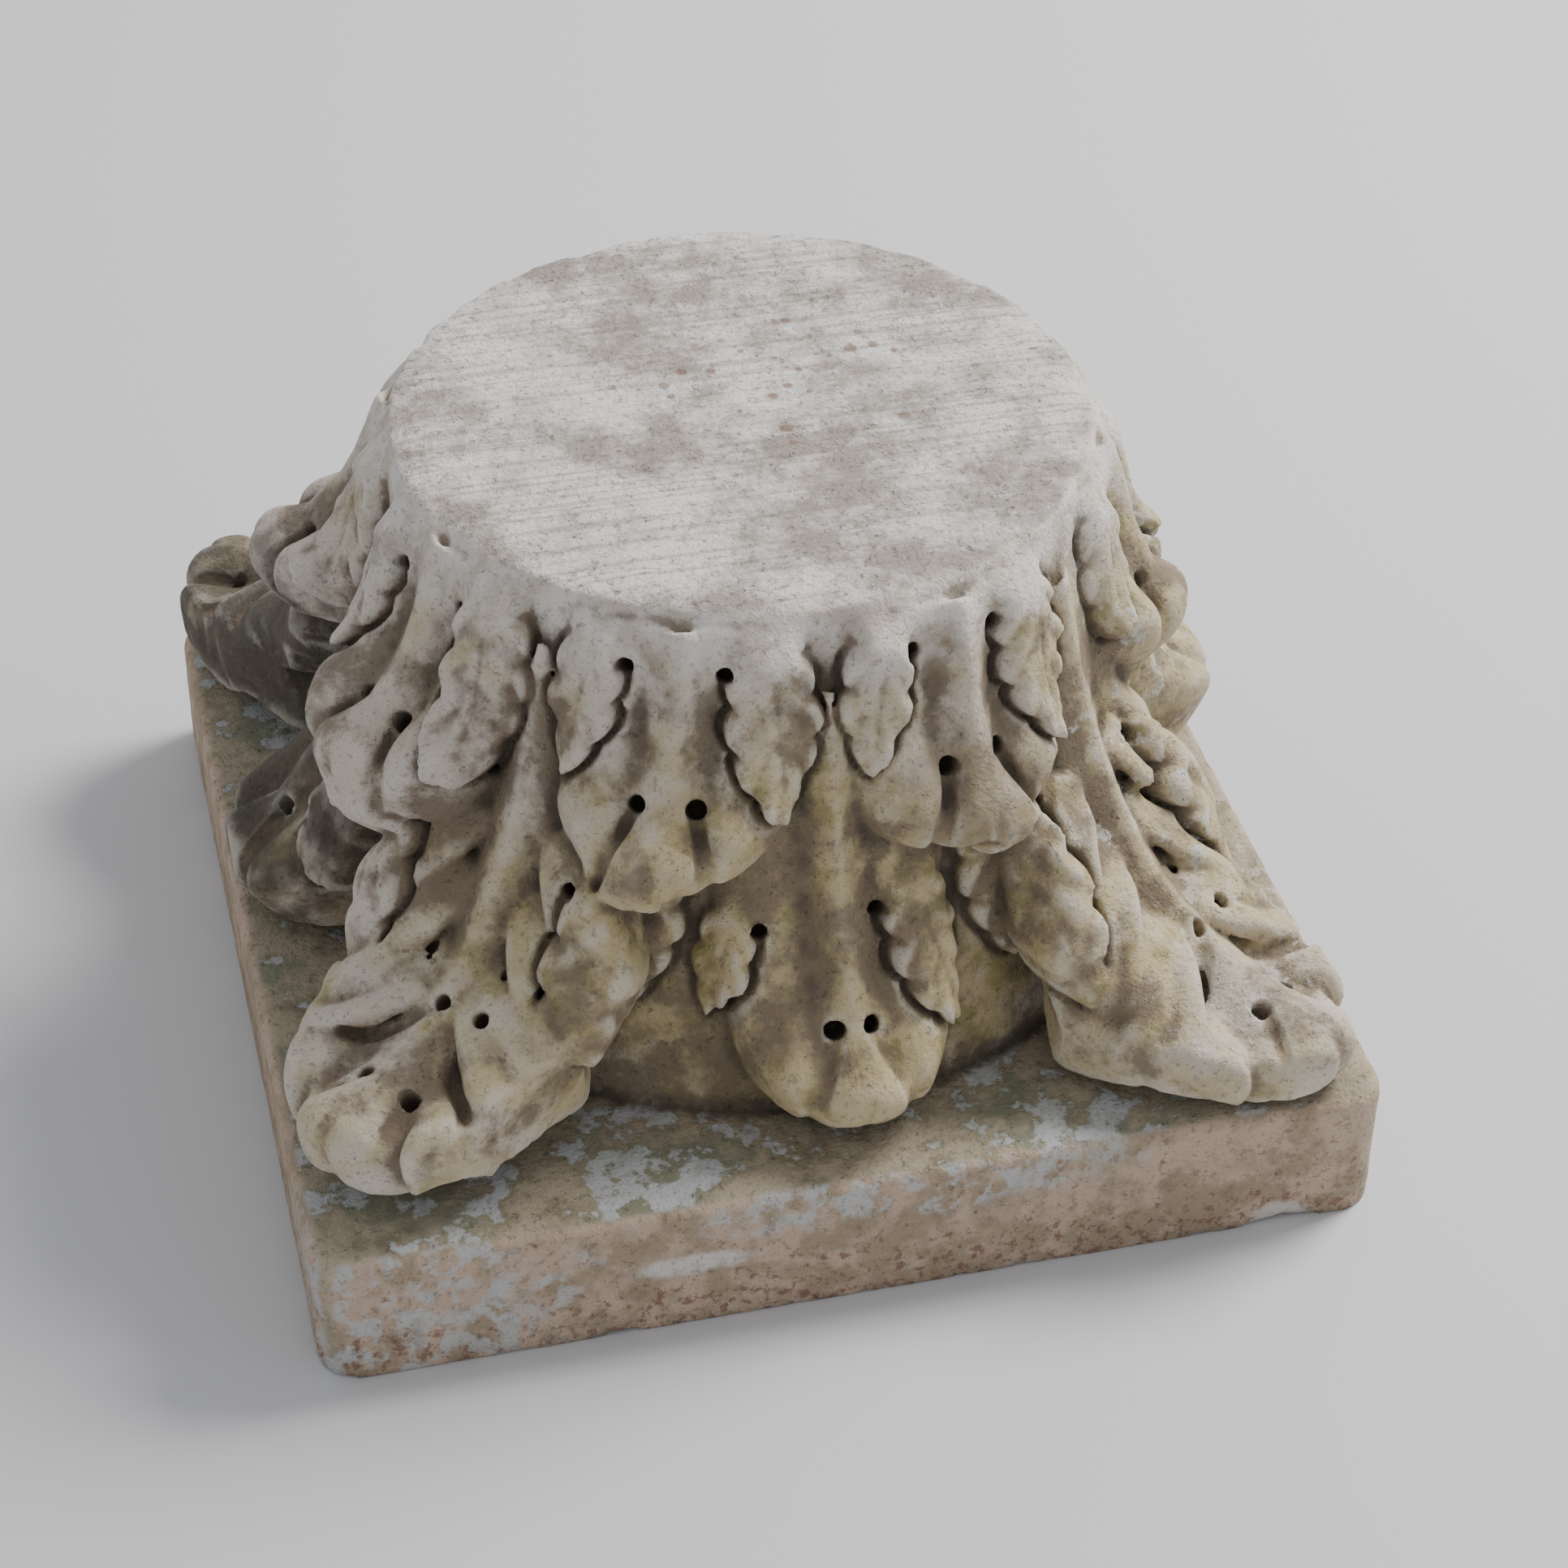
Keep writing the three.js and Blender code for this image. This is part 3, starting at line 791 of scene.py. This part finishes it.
class CapitalSizes(bpy.types.PropertyGroup):
    """Sizes, light and colours that a user may want to change."""

    most_triangles: bpy.props.IntProperty(
        name="Most triangles", description="Greatest number of triangles in the stone",
        min=20000, max=199000, default=190000,
    )
    lamp_power: bpy.props.FloatProperty(
        name="Lamp", description="Power of the soft lamp", subtype="POWER", unit="POWER",
        min=0.0, default=125.0,
    )
    sky_strength: bpy.props.FloatProperty(
        name="Sky", description="Strength of the even light from all around", min=0.0, default=0.62,
    )

    pale_stone: colour_of("Pale stone", "Clean weathered marble", (0.64, 0.565, 0.49))
    cream_stone: colour_of("Cream stone", "Marble with a yellow patina", (0.53, 0.43, 0.24))
    olive_patina: colour_of("Olive patina", "Thin growth on the lower leaves", (0.31, 0.265, 0.105))
    # Also painted shade: with real soiling, this colour darkens the small hollows such as grooves and drilled
    # eyes.
    brown_stain_and_shade: colour_of("Brown stain", "Old stains and the foot of hollows", (0.195, 0.145, 0.10))
    # Also painted shade: this colour darkens the back-left leaves and the deepest hollows, besides marking
    # real dark crust.
    dark_crust_and_shade: colour_of("Dark crust", "Soot and moss in the deepest hollows", (0.055, 0.044, 0.030))
    lichen: colour_of("Lichen", "Blue-grey lichen on the slab", (0.50, 0.515, 0.515))
    slab_stone: colour_of("Slab", "Pinkish marble of the slab", (0.53, 0.395, 0.30))
    floor_colour: colour_of("Floor", "Plain studio floor", (0.66, 0.66, 0.68))


class CAPITAL_OT_stone(bpy.types.Operator):
    """Carve the capital from its block and give it its weathered marble"""

    bl_idname = "capital.stone"
    bl_label = "Stone"

    def execute(self, context):
        block = build_block()
        mesh = thin(block_mesh(block, "capital_stone"), context.scene.capital_sizes.most_triangles)
        keep_in_box(mesh)
        hollows(block, mesh)
        mesh.shade_smooth()
        stone = bpy.data.objects.new("capital_stone", mesh)
        context.scene.collection.objects.link(stone)
        mesh.materials.append(marble_material(context.scene.capital_sizes))
        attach(stone, "root")
        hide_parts("capital")
        return {"FINISHED"}


class CAPITAL_OT_studio(bpy.types.Operator):
    """Lay the floor and set the lights and the camera"""

    bl_idname = "capital.studio"
    bl_label = "Studio"

    def execute(self, context):
        floor_mesh = bpy.data.meshes.new("studio_floor")
        corners = [(x * FLOOR_REACH, y * FLOOR_REACH, 0) for x, y in ((-1, -1), (1, -1), (1, 1), (-1, 1))]
        floor_mesh.from_pydata(corners, [], [(0, 1, 2, 3)])
        floor = bpy.data.objects.new("studio_floor", floor_mesh)
        context.scene.collection.objects.link(floor)
        floor_mesh.materials.append(floor_material(context.scene.capital_sizes))
        floor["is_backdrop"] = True
        place_lights(context)
        place_camera(context)
        return {"FINISHED"}


# ---------------------------------------------------------------- materials

class Paint:
    """Puts the nodes of one material together; every method returns a socket."""

    def __init__(self, name, roughness):
        self.material = bpy.data.materials.new(name)
        self.material.use_nodes = True
        self.tree = self.material.node_tree
        self.shader = self.tree.nodes["Principled BSDF"]
        self.shader.inputs["Roughness"].default_value = roughness
        self.place = self.node("ShaderNodeTexCoord").outputs["Object"]
        self.x, self.y, self.z = self.parts(self.place)

    def node(self, kind, **settings):
        node = self.tree.nodes.new(kind)
        for key, value in settings.items():
            setattr(node, key, value)
        return node

    def feed(self, socket, value):
        if isinstance(value, bpy.types.NodeSocket):
            self.tree.links.new(value, socket)
        elif socket.type == "RGBA":
            socket.default_value = (*value, 1.0)
        else:
            socket.default_value = value

    def parts(self, vector):
        node = self.node("ShaderNodeSeparateXYZ")
        self.feed(node.inputs[0], vector)
        return node.outputs

    def sum(self, operation, first, second=0.0):
        node = self.node("ShaderNodeMath", operation=operation)
        self.feed(node.inputs[0], first)
        self.feed(node.inputs[1], second)
        return node.outputs[0]

    def times(self, *values):
        result = values[0]
        for each in values[1:]:
            result = self.sum("MULTIPLY", result, each)
        return result

    def step(self, value, low, high):
        """Smooth rise from 0 at `low` to 1 at `high`; it falls where `low` is the greater."""
        node = self.node("ShaderNodeMapRange", interpolation_type="SMOOTHSTEP")
        for socket, given in zip(node.inputs, (value, low, high)):
            self.feed(socket, given)
        return node.outputs[0]

    def stretched(self, scale, turn=0.0, shift=(0.0, 0.0, 0.0)):
        node = self.node("ShaderNodeMapping")
        self.feed(node.inputs["Vector"], self.place)
        self.feed(node.inputs["Rotation"], (0.0, 0.0, turn))
        self.feed(node.inputs["Scale"], scale)
        self.feed(node.inputs["Location"], shift)
        return node.outputs[0]

    def noise(self, size, detail=3.0, rough=0.55, bend=0.0, shift=0.0, vector=None):
        """Cloudy noise with lumps of about `size` mm, around 0.5."""
        node = self.node("ShaderNodeTexNoise")
        place = vector or self.stretched((1.0, 1.0, 1.0), shift=(shift, shift, 0.7 * shift))
        self.feed(node.inputs["Vector"], place)
        self.feed(node.inputs["Scale"], 1000.0 / size)
        self.feed(node.inputs["Detail"], detail)
        self.feed(node.inputs["Roughness"], rough)
        self.feed(node.inputs["Distortion"], bend)
        return node.outputs[0]

    def spots(self, size, greatest, shift=0.0):
        """Round spots with a spacing of about `size` mm and a radius up to `greatest` mm."""
        node = self.node("ShaderNodeTexVoronoi")
        self.feed(node.inputs["Vector"], self.stretched((1.0, 1.0, 1.0), shift=(shift, shift, shift)))
        self.feed(node.inputs["Scale"], 1000.0 / size)
        chance = self.parts(node.outputs["Color"])[0]
        reach = self.sum("MULTIPLY", chance, greatest / size)
        return self.step(self.sum("SUBTRACT", node.outputs["Distance"], reach), 0.04, -0.06)

    def area(self, centre, reach, ragged=1.6):
        """A ragged patch around a point, both in mm."""
        scale = [1000.0 / each for each in reach]
        shift = [-each / far for each, far in zip(centre, reach)]
        node = self.node("ShaderNodeVectorMath", operation="LENGTH")
        self.feed(node.inputs[0], self.stretched(scale, shift=shift))
        edge = self.sum("MULTIPLY", self.sum("SUBTRACT", self.noise(22.0, 4.0, shift=centre[0]), 0.5), ragged)
        return self.step(self.sum("ADD", node.outputs["Value"], edge), 1.25, 0.6)

    def mix(self, share, first, second):
        node = self.node("ShaderNodeMix", data_type="RGBA")
        self.feed(node.inputs[0], share)
        self.feed(node.inputs[6], first)
        self.feed(node.inputs[7], second)
        return node.outputs[2]

    def attribute(self, name):
        return self.node("ShaderNodeAttribute", attribute_name=name).outputs["Fac"]

    def finish(self, colour, height=None, depth=0.0):
        self.feed(self.shader.inputs["Base Color"], colour)
        if height is not None:
            node = self.node("ShaderNodeBump")
            self.feed(node.inputs["Height"], height)
            self.feed(node.inputs["Strength"], 1.0)
            self.feed(node.inputs["Distance"], depth / 1000.0)
            self.feed(self.shader.inputs["Normal"], node.outputs["Normal"])
        return self.material


# Colours of small things on the stone.
MOSS = (0.095, 0.084, 0.052)
BRIGHT_STONE = (0.80, 0.77, 0.73)
WORN_EDGE = (0.68, 0.64, 0.56)
BED_STONE = (0.76, 0.73, 0.70)
BED_STAIN = (0.24, 0.185, 0.15)
SAW_MARK = (0.27, 0.24, 0.20)
BED_SPECK = (0.13, 0.105, 0.08)
BED_RUST = (0.19, 0.085, 0.055)
# Slab top colours: grey-green stone and lichen, kept darker than the front partly as painted shade under the
# overhanging leaves.
SLAB_TOP_PALE = (0.44, 0.37, 0.27)
SLAB_TOP_DARK = (0.27, 0.23, 0.15)
GREY_GREEN = (0.205, 0.225, 0.155)
SLAB_STAIN = (0.36, 0.28, 0.19)
SLAB_RUST = (0.20, 0.09, 0.06)
FRESH_BREAK = (0.70, 0.67, 0.64)
WHITE_CRUST = (0.62, 0.62, 0.58)
DARK_GRAIN = (0.12, 0.10, 0.075)
BUMP_DEPTH = 0.9


def leaves_colour(paint, sizes, small, large):
    """Pale stone that goes over to cream, olive and brown patina down the bell, with painted shade on the
    back-left leaves.
    """
    pale, cream, olive = sizes.pale_stone[:], sizes.cream_stone[:], sizes.olive_patina[:]
    brown, dark = sizes.brown_stain_and_shade[:], sizes.dark_crust_and_shade[:]
    cloud = paint.noise(46.0, 4.0, 0.6)
    mottle = paint.noise(15.0, 5.0, 0.62, shift=3.0)
    middle = paint.area((-5.0, -165.0, 125.0), (150.0, 115.0, 95.0))
    right = paint.area((170.0, -60.0, 150.0), (95.0, 130.0, 110.0))
    left = paint.area((-175.0, -20.0, 190.0), (75.0, 130.0, 75.0))
    top = paint.step(paint.z, 0.222, 0.252)
    warm = paint.sum("MAXIMUM", middle, paint.times(right, 0.85))
    warm = paint.sum("MAXIMUM", warm, paint.times(paint.step(cloud, 0.40, 0.60), 0.75))
    warm = paint.times(warm, paint.step(left, 1.2, 0.2), paint.step(top, 1.1, 0.3))
    colour = paint.mix(warm, pale, cream)
    growth = paint.times(paint.step(paint.sum("ADD", mottle, paint.times(large, 0.08)), 0.44, 0.62), warm)
    colour = paint.mix(paint.times(growth, 0.85), colour, olive)
    stain = paint.sum("ADD", paint.noise(30.0, 6.0, 0.68, shift=15.0), paint.times(large, 0.09))
    stain = paint.times(paint.step(stain, 0.40, 0.58), 0.85, paint.step(top, 1.3, 0.2))
    colour = paint.mix(stain, colour, brown)
    tip = paint.area((59.0, -154.0, 182.0), (36.0, 34.0, 26.0))
    colour = paint.mix(paint.times(tip, 0.55), colour, brown)
    # Painted shade: the back-left leaves are darkened towards the dark crust colour, on the side away from
    # the lamp.
    shade = paint.area((-170.0, 80.0, 105.0), (110.0, 140.0, 90.0))
    moss = paint.area((-96.0, -146.0, 217.0), (26.0, 26.0, 19.0))
    colour = paint.mix(paint.times(shade, 0.9), colour, dark)
    colour = paint.mix(paint.times(moss, 0.85), colour, MOSS)
    white = paint.area((-60.0, -162.0, 226.0), (9.0, 12.0, 9.0), 0.5)
    bright = paint.times(top, paint.step(mottle, 0.62, 0.42))
    colour = paint.mix(paint.sum("MAXIMUM", white, paint.times(bright, 0.8)), colour, BRIGHT_STONE)
    worn = paint.times(paint.step(small, -0.15, -0.75), paint.step(mottle, 0.66, 0.44))
    return paint.mix(paint.times(worn, 0.6), colour, WORN_EDGE)


def bed_colour(paint):
    """Sawn bed on top: grey-white with grey-brown clouds, specks and slanting saw marks."""
    cloud = paint.step(paint.noise(52.0, 8.0, 0.74, shift=9.0), 0.40, 0.60)
    saw = paint.noise(1.0, 2.0, 0.5, vector=paint.stretched((0.007, 0.32, 0.05), turn=0.62))
    colour = paint.mix(paint.times(cloud, 0.8), BED_STONE, BED_STAIN)
    colour = paint.mix(paint.times(paint.step(saw, 0.50, 0.64), 0.45), colour, SAW_MARK)
    speck = paint.step(paint.noise(3.4, 4.0, 0.75, shift=2.0), 0.53, 0.66)
    colour = paint.mix(paint.times(speck, 0.6), colour, BED_SPECK)
    rust = paint.times(paint.area((20.0, 10.0, 261.0), (70.0, 60.0, 60.0)), paint.spots(9.0, 3.0, 5.0))
    return paint.mix(paint.times(rust, 0.7), colour, BED_RUST)


def slab_colour(paint, sizes):
    """Slab: grey-green top with lichen, darker than the front partly as painted shade under the overhanging
    leaves; pinkish front with red-brown specks towards its foot.
    """
    mottle = paint.noise(17.0, 5.0, 0.62, shift=5.0)
    cloud = paint.noise(48.0, 4.0, 0.6, shift=7.0)
    from_middle = paint.sum("MAXIMUM", paint.sum("ABSOLUTE", paint.x), paint.sum("ABSOLUTE", paint.y))
    side = paint.step(from_middle, 0.1955, 0.1985)
    # Partly painted shade: the top's colours sit darker than the front's, besides its real grey-green tone
    # and lichen.
    top = paint.mix(paint.step(mottle, 0.44, 0.62), SLAB_TOP_PALE, SLAB_TOP_DARK)
    top = paint.mix(paint.times(paint.step(cloud, 0.50, 0.60), 0.8), top, GREY_GREEN)
    blotch = paint.sum("ADD", mottle, paint.times(cloud, 0.7))
    top = paint.mix(paint.step(blotch, 0.90, 0.96), top, sizes.lichen[:])
    front = paint.mix(paint.step(mottle, 0.42, 0.60), sizes.slab_stone[:], SLAB_STAIN)
    low = paint.step(paint.z, 0.044, 0.004)
    rust = paint.sum("ADD", paint.noise(5.0, 4.0, 0.7, shift=4.0), paint.times(low, 0.10))
    front = paint.mix(paint.times(paint.step(rust, 0.60, 0.70), 0.75), front, SLAB_RUST)
    left_end = paint.area((-165.0, -200.0, 28.0), (55.0, 60.0, 46.0), 2.2)
    upper = paint.area((15.0, -200.0, 50.0), (85.0, 30.0, 13.0), 2.2)
    growth = paint.sum("MAXIMUM", left_end, upper)
    growth = paint.times(growth, paint.step(paint.noise(9.0, 4.0, 0.6, shift=8.0), 0.44, 0.56))
    front = paint.mix(paint.times(growth, 0.85), front, sizes.lichen[:])
    scratch = paint.area((-64.0, -200.0, 30.0), (22.0, 20.0, 5.0), 1.0)
    chip = paint.area((CHIP_X, -196.0, 2.0), (12.0, 12.0, 9.0), 0.6)
    front = paint.mix(paint.times(paint.sum("MAXIMUM", scratch, chip), 0.8), front, FRESH_BREAK)
    return paint.mix(side, top, front)


def marble_material(sizes):
    """Weathered marble with patina, stains, moss and lichen, all placed on the stone itself, with painted
    shade in the hollows and on the back-left leaves.
    """
    paint = Paint("weathered_marble", 0.82)
    small = paint.attribute("small_hollow")
    large = paint.attribute("large_hollow")
    on_slab = paint.step(paint.z, 0.0600, 0.0568)
    on_bed = paint.step(paint.z, 0.2580, 0.2602)
    colour = leaves_colour(paint, sizes, small, large)
    colour = paint.mix(on_slab, colour, slab_colour(paint, sizes))
    colour = paint.mix(on_bed, colour, bed_colour(paint))
    # Painted shade mixed with real soiling: the small hollows are darkened towards brown and the large
    # hollows towards the dark crust colour.
    ragged = paint.times(paint.sum("SUBTRACT", paint.noise(8.0, 4.0, 0.6, shift=6.0), 0.5), 1.6)
    dirt_and_shade = paint.step(paint.sum("ADD", small, ragged), -0.05, 0.6)
    deep = paint.step(paint.sum("ADD", large, ragged), 0.3, 1.7)
    carved = paint.step(on_bed, 1.0, 0.0)
    colour = paint.mix(paint.times(dirt_and_shade, carved, 0.75), colour, sizes.brown_stain_and_shade[:])
    colour = paint.mix(paint.times(deep, carved, 0.8), colour, sizes.dark_crust_and_shade[:])
    right = paint.area((175.0, -60.0, 150.0), (95.0, 140.0, 130.0))
    black = paint.step(paint.noise(3.6, 3.0, 0.75, shift=1.0), 0.63, 0.70)
    share = paint.sum("MAXIMUM", paint.times(right, 0.85), 0.35)
    colour = paint.mix(paint.times(black, share, carved), colour, sizes.dark_crust_and_shade[:])
    crust = paint.times(right, paint.step(paint.noise(12.0, 5.0, 0.65, shift=11.0), 0.57, 0.64))
    colour = paint.mix(paint.times(crust, carved, 0.8), colour, WHITE_CRUST)
    grain = paint.noise(1.3, 2.0, 0.6)
    colour = paint.mix(paint.times(paint.step(grain, 0.42, 0.30), 0.35), colour, DARK_GRAIN)
    pits = paint.step(paint.noise(3.2, 3.0, 0.65, shift=12.0), 0.40, 0.28)
    rough = paint.times(paint.noise(2.2, 4.0, 0.65, shift=13.0), 1.4)
    height = paint.sum("SUBTRACT", rough, paint.times(pits, 0.8))
    return paint.finish(colour, height, BUMP_DEPTH)


def floor_material(sizes):
    paint = Paint("studio_floor", 0.7)
    return paint.finish(sizes.floor_colour[:])


# ---------------------------------------------------------------- studio

# In metres.
LAMP_PLACE = (1.9, 0.7, 2.4)
LAMP_AIM = (0.0, 0.0, 0.1)
FLOOR_REACH = 12.0


def area_light(context, name, place, aim, size, power, colour):
    light = bpy.data.lights.new(name, "AREA")
    light.shape = "DISK"
    light.size = size
    light.energy = power
    light.color = colour
    lamp = bpy.data.objects.new(name, light)
    lamp.location = place
    lamp.rotation_euler = (Vector(aim) - Vector(place)).to_track_quat("-Z", "Y").to_euler()
    context.scene.collection.objects.link(lamp)
    lamp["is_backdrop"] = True


def place_lights(context):
    sizes = context.scene.capital_sizes
    world = bpy.data.worlds.new("studio_light")
    world.use_nodes = True
    sky = world.node_tree.nodes["Background"]
    sky.inputs["Color"].default_value = (0.95, 0.97, 1.0, 1.0)
    sky.inputs["Strength"].default_value = sizes.sky_strength
    context.scene.world = world
    area_light(context, "window_light", LAMP_PLACE, LAMP_AIM, 1.3, sizes.lamp_power, (1.0, 0.98, 0.95))


# The place is in metres, the angles in degrees, and the lens and the sensor in millimetres.
CAMERA_PLACE = (-0.2698, -1.1432, 1.0074)
CAMERA_YAW = 14.118
CAMERA_PITCH = 38.139
CAMERA_ROLL = 0.623
CAMERA_LENS = 87.066
SENSOR = 36.0


def place_camera(context):
    camera = bpy.data.cameras.new("studio_camera")
    camera.lens = CAMERA_LENS
    camera.sensor_width = SENSOR
    camera.clip_end = 50.0
    holder = bpy.data.objects.new("studio_camera", camera)
    turn = Matrix.Rotation(math.radians(-CAMERA_YAW), 4, "Z")
    tilt = Matrix.Rotation(math.radians(90.0 - CAMERA_PITCH), 4, "X")
    roll = Matrix.Rotation(math.radians(CAMERA_ROLL), 4, "Z")
    holder.matrix_world = Matrix.Translation(CAMERA_PLACE) @ turn @ tilt @ roll
    context.scene.collection.objects.link(holder)
    context.scene.camera = holder


class CAPITAL_PT_panel(bpy.types.Panel):
    """Sidebar panel with the sizes, the colours and the steps of the build"""

    bl_label = "Corinthian Capital"
    bl_idname = "CAPITAL_PT_panel"
    bl_space_type = "VIEW_3D"
    bl_region_type = "UI"
    bl_category = "Capital"

    def draw(self, context):
        sizes = context.scene.capital_sizes
        for name in CapitalSizes.__annotations__:
            self.layout.prop(sizes, name)
        for step in STEPS:
            self.layout.operator(step.bl_idname)


STEPS = (CAPITAL_OT_stone, CAPITAL_OT_studio)
CLASSES = (CapitalSizes, *STEPS, CAPITAL_PT_panel)


def register():
    for each in CLASSES:
        bpy.utils.register_class(each)
    bpy.types.Scene.capital_sizes = bpy.props.PointerProperty(type=CapitalSizes)


def unregister():
    del bpy.types.Scene.capital_sizes
    for each in reversed(CLASSES):
        bpy.utils.unregister_class(each)


def main():
    register()
    bpy.ops.capital.stone()
    bpy.ops.capital.studio()
    boxes = {"cad": SOLID_BOX, "visual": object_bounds()}
    boxes = {name: [list(corner) for corner in box] for name, box in boxes.items()}


if __name__ == "__main__":
    main()
